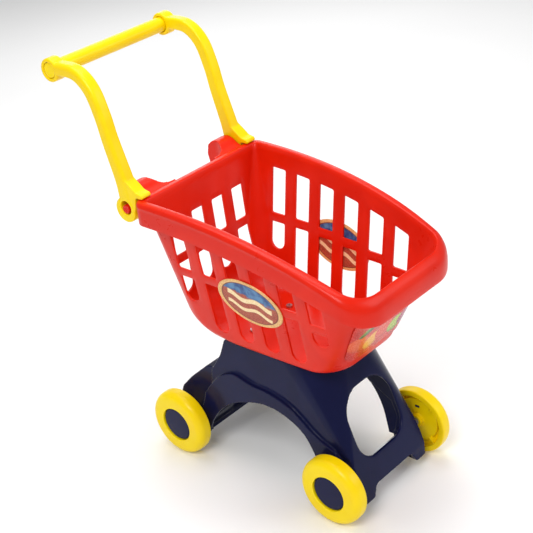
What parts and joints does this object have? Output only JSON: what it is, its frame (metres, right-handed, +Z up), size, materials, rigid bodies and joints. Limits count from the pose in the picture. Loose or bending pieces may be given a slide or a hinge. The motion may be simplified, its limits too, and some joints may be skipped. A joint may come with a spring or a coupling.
{
  "type": "toy shopping cart",
  "caption": "Child's push-along shopping cart: slotted basket with a rolled rim on an arched chassis, free-rolling wheels and an upright handle that folds back.",
  "frame": {"origin": "on the floor under the middle of the cart's bounding box", "axes": "+Z up, -Y the way the cart's front faces, +Y towards the person who pushes it, +X the cart's left"},
  "size_m": [0.2236, 0.468, 0.5325],
  "materials": {
    "red_plastic": "moulded polypropylene, semi-gloss",
    "navy_plastic": "moulded polypropylene, glossy",
    "yellow_plastic": "moulded polypropylene, semi-gloss",
    "printed_badge": "printed film on a thin plate, satin",
    "printed_label": "printed film, satin",
    "spacer_plastic": "matt grey",
    "zinc_steel": "zinc plated",
    "axle_steel": "bright drawn wire"
  },
  "bodies": {
    "cart": {"basket": "red_plastic", "chassis": "navy_plastic", "front_label": "printed_label", "badge_left": "printed_badge", "badge_right": "printed_badge", "basket_screw_front_left": "zinc_steel", "basket_screw_front_right": "zinc_steel", "basket_screw_rear_left": "zinc_steel", "basket_screw_rear_right": "zinc_steel", "axle_front": "axle_steel", "axle_rear": "axle_steel", "axle_spacer_front_left": "spacer_plastic", "axle_spacer_front_right": "spacer_plastic", "axle_spacer_rear_left": "spacer_plastic", "axle_spacer_rear_right": "spacer_plastic", "push_nut_front_left": "axle_steel", "push_nut_front_right": "axle_steel", "push_nut_rear_left": "axle_steel", "push_nut_rear_right": "axle_steel"},
    "handle": {"handle_arm_left": "yellow_plastic", "handle_arm_right": "yellow_plastic", "handle_grip": "yellow_plastic", "grip_plug_left": "yellow_plastic", "grip_plug_right": "yellow_plastic"},
    "front_left_wheel": {"wheel_front_left": "yellow_plastic", "hub_cap_front_left": "navy_plastic"},
    "front_right_wheel": {"wheel_front_right": "yellow_plastic", "hub_cap_front_right": "navy_plastic"},
    "rear_left_wheel": {"wheel_rear_left": "yellow_plastic", "hub_cap_rear_left": "navy_plastic"},
    "rear_right_wheel": {"wheel_rear_right": "yellow_plastic", "hub_cap_rear_right": "navy_plastic"}
  },
  "joints": [
    {"name": "front_left_roll", "type": "hinge", "parent": "cart", "child": "front_left_wheel", "pos_m": [0.09, -0.168, 0.045], "axis": [1, 0, 0], "continuous": true},
    {"name": "front_right_roll", "type": "hinge", "parent": "cart", "child": "front_right_wheel", "pos_m": [-0.09, -0.168, 0.045], "axis": [1, 0, 0], "continuous": true},
    {"name": "rear_left_roll", "type": "hinge", "parent": "cart", "child": "rear_left_wheel", "pos_m": [0.09, 0.088, 0.045], "axis": [1, 0, 0], "continuous": true},
    {"name": "rear_right_roll", "type": "hinge", "parent": "cart", "child": "rear_right_wheel", "pos_m": [-0.09, 0.088, 0.045], "axis": [1, 0, 0], "continuous": true},
    {"name": "handle_fold", "type": "hinge", "parent": "cart", "child": "handle", "pos_m": [0, 0.1165, 0.3565], "axis": [-1, 0, 0], "range_deg": [0, 150]}
  ]
}
